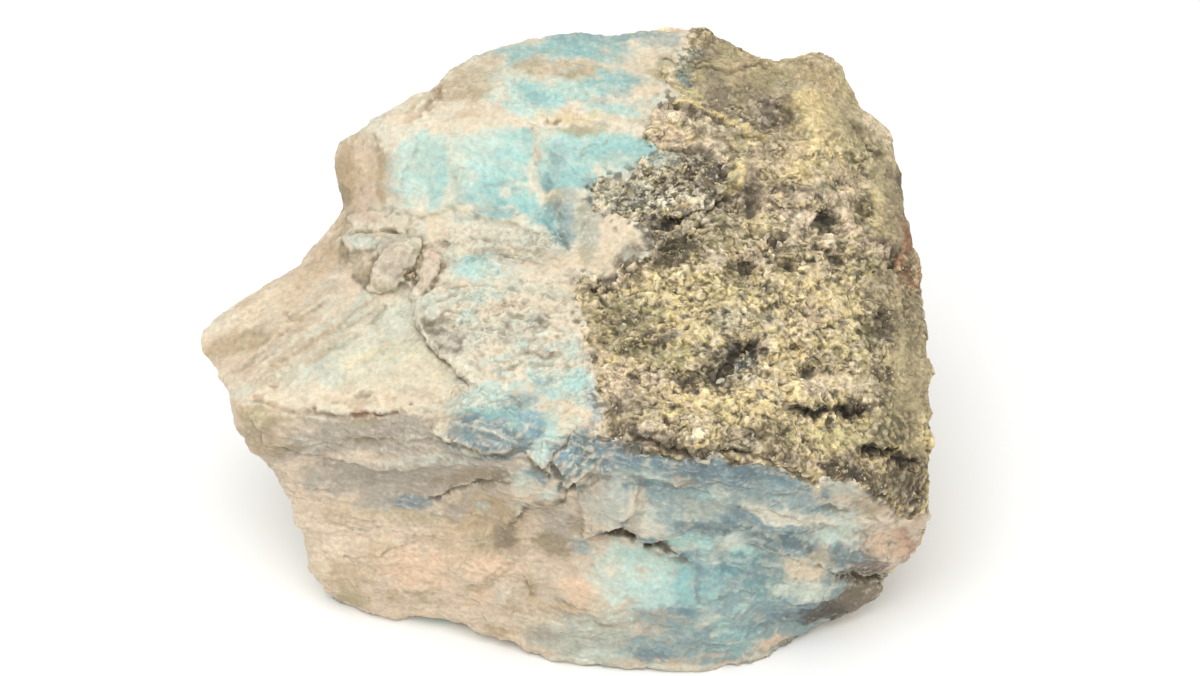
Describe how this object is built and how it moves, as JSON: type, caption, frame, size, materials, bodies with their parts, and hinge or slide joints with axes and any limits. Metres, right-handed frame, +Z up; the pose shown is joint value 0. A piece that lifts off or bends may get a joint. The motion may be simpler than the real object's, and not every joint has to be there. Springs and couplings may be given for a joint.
{
  "type": "raw larimar stone",
  "caption": "Rough hand-sized lump of blue pectolite grown onto dark volcanic host rock, broken on every side and resting on a flat base.",
  "frame": {"origin": "centre of the bounding box in X and Y, on the plane that the stone rests on", "axes": "+X along the longest extent, from the pale pointed end to the dark host rock; +Z up from the base; -Y out of the tall broken front"},
  "size_m": [0.1002, 0.0762, 0.0641],
  "materials": {
    "raw_larimar": "rough broken stone, blue-green and cream pectolite passing into granular olive and dark basalt"
  },
  "bodies": {
    "root": {"larimar_stone": "raw_larimar"}
  },
  "joints": []
}
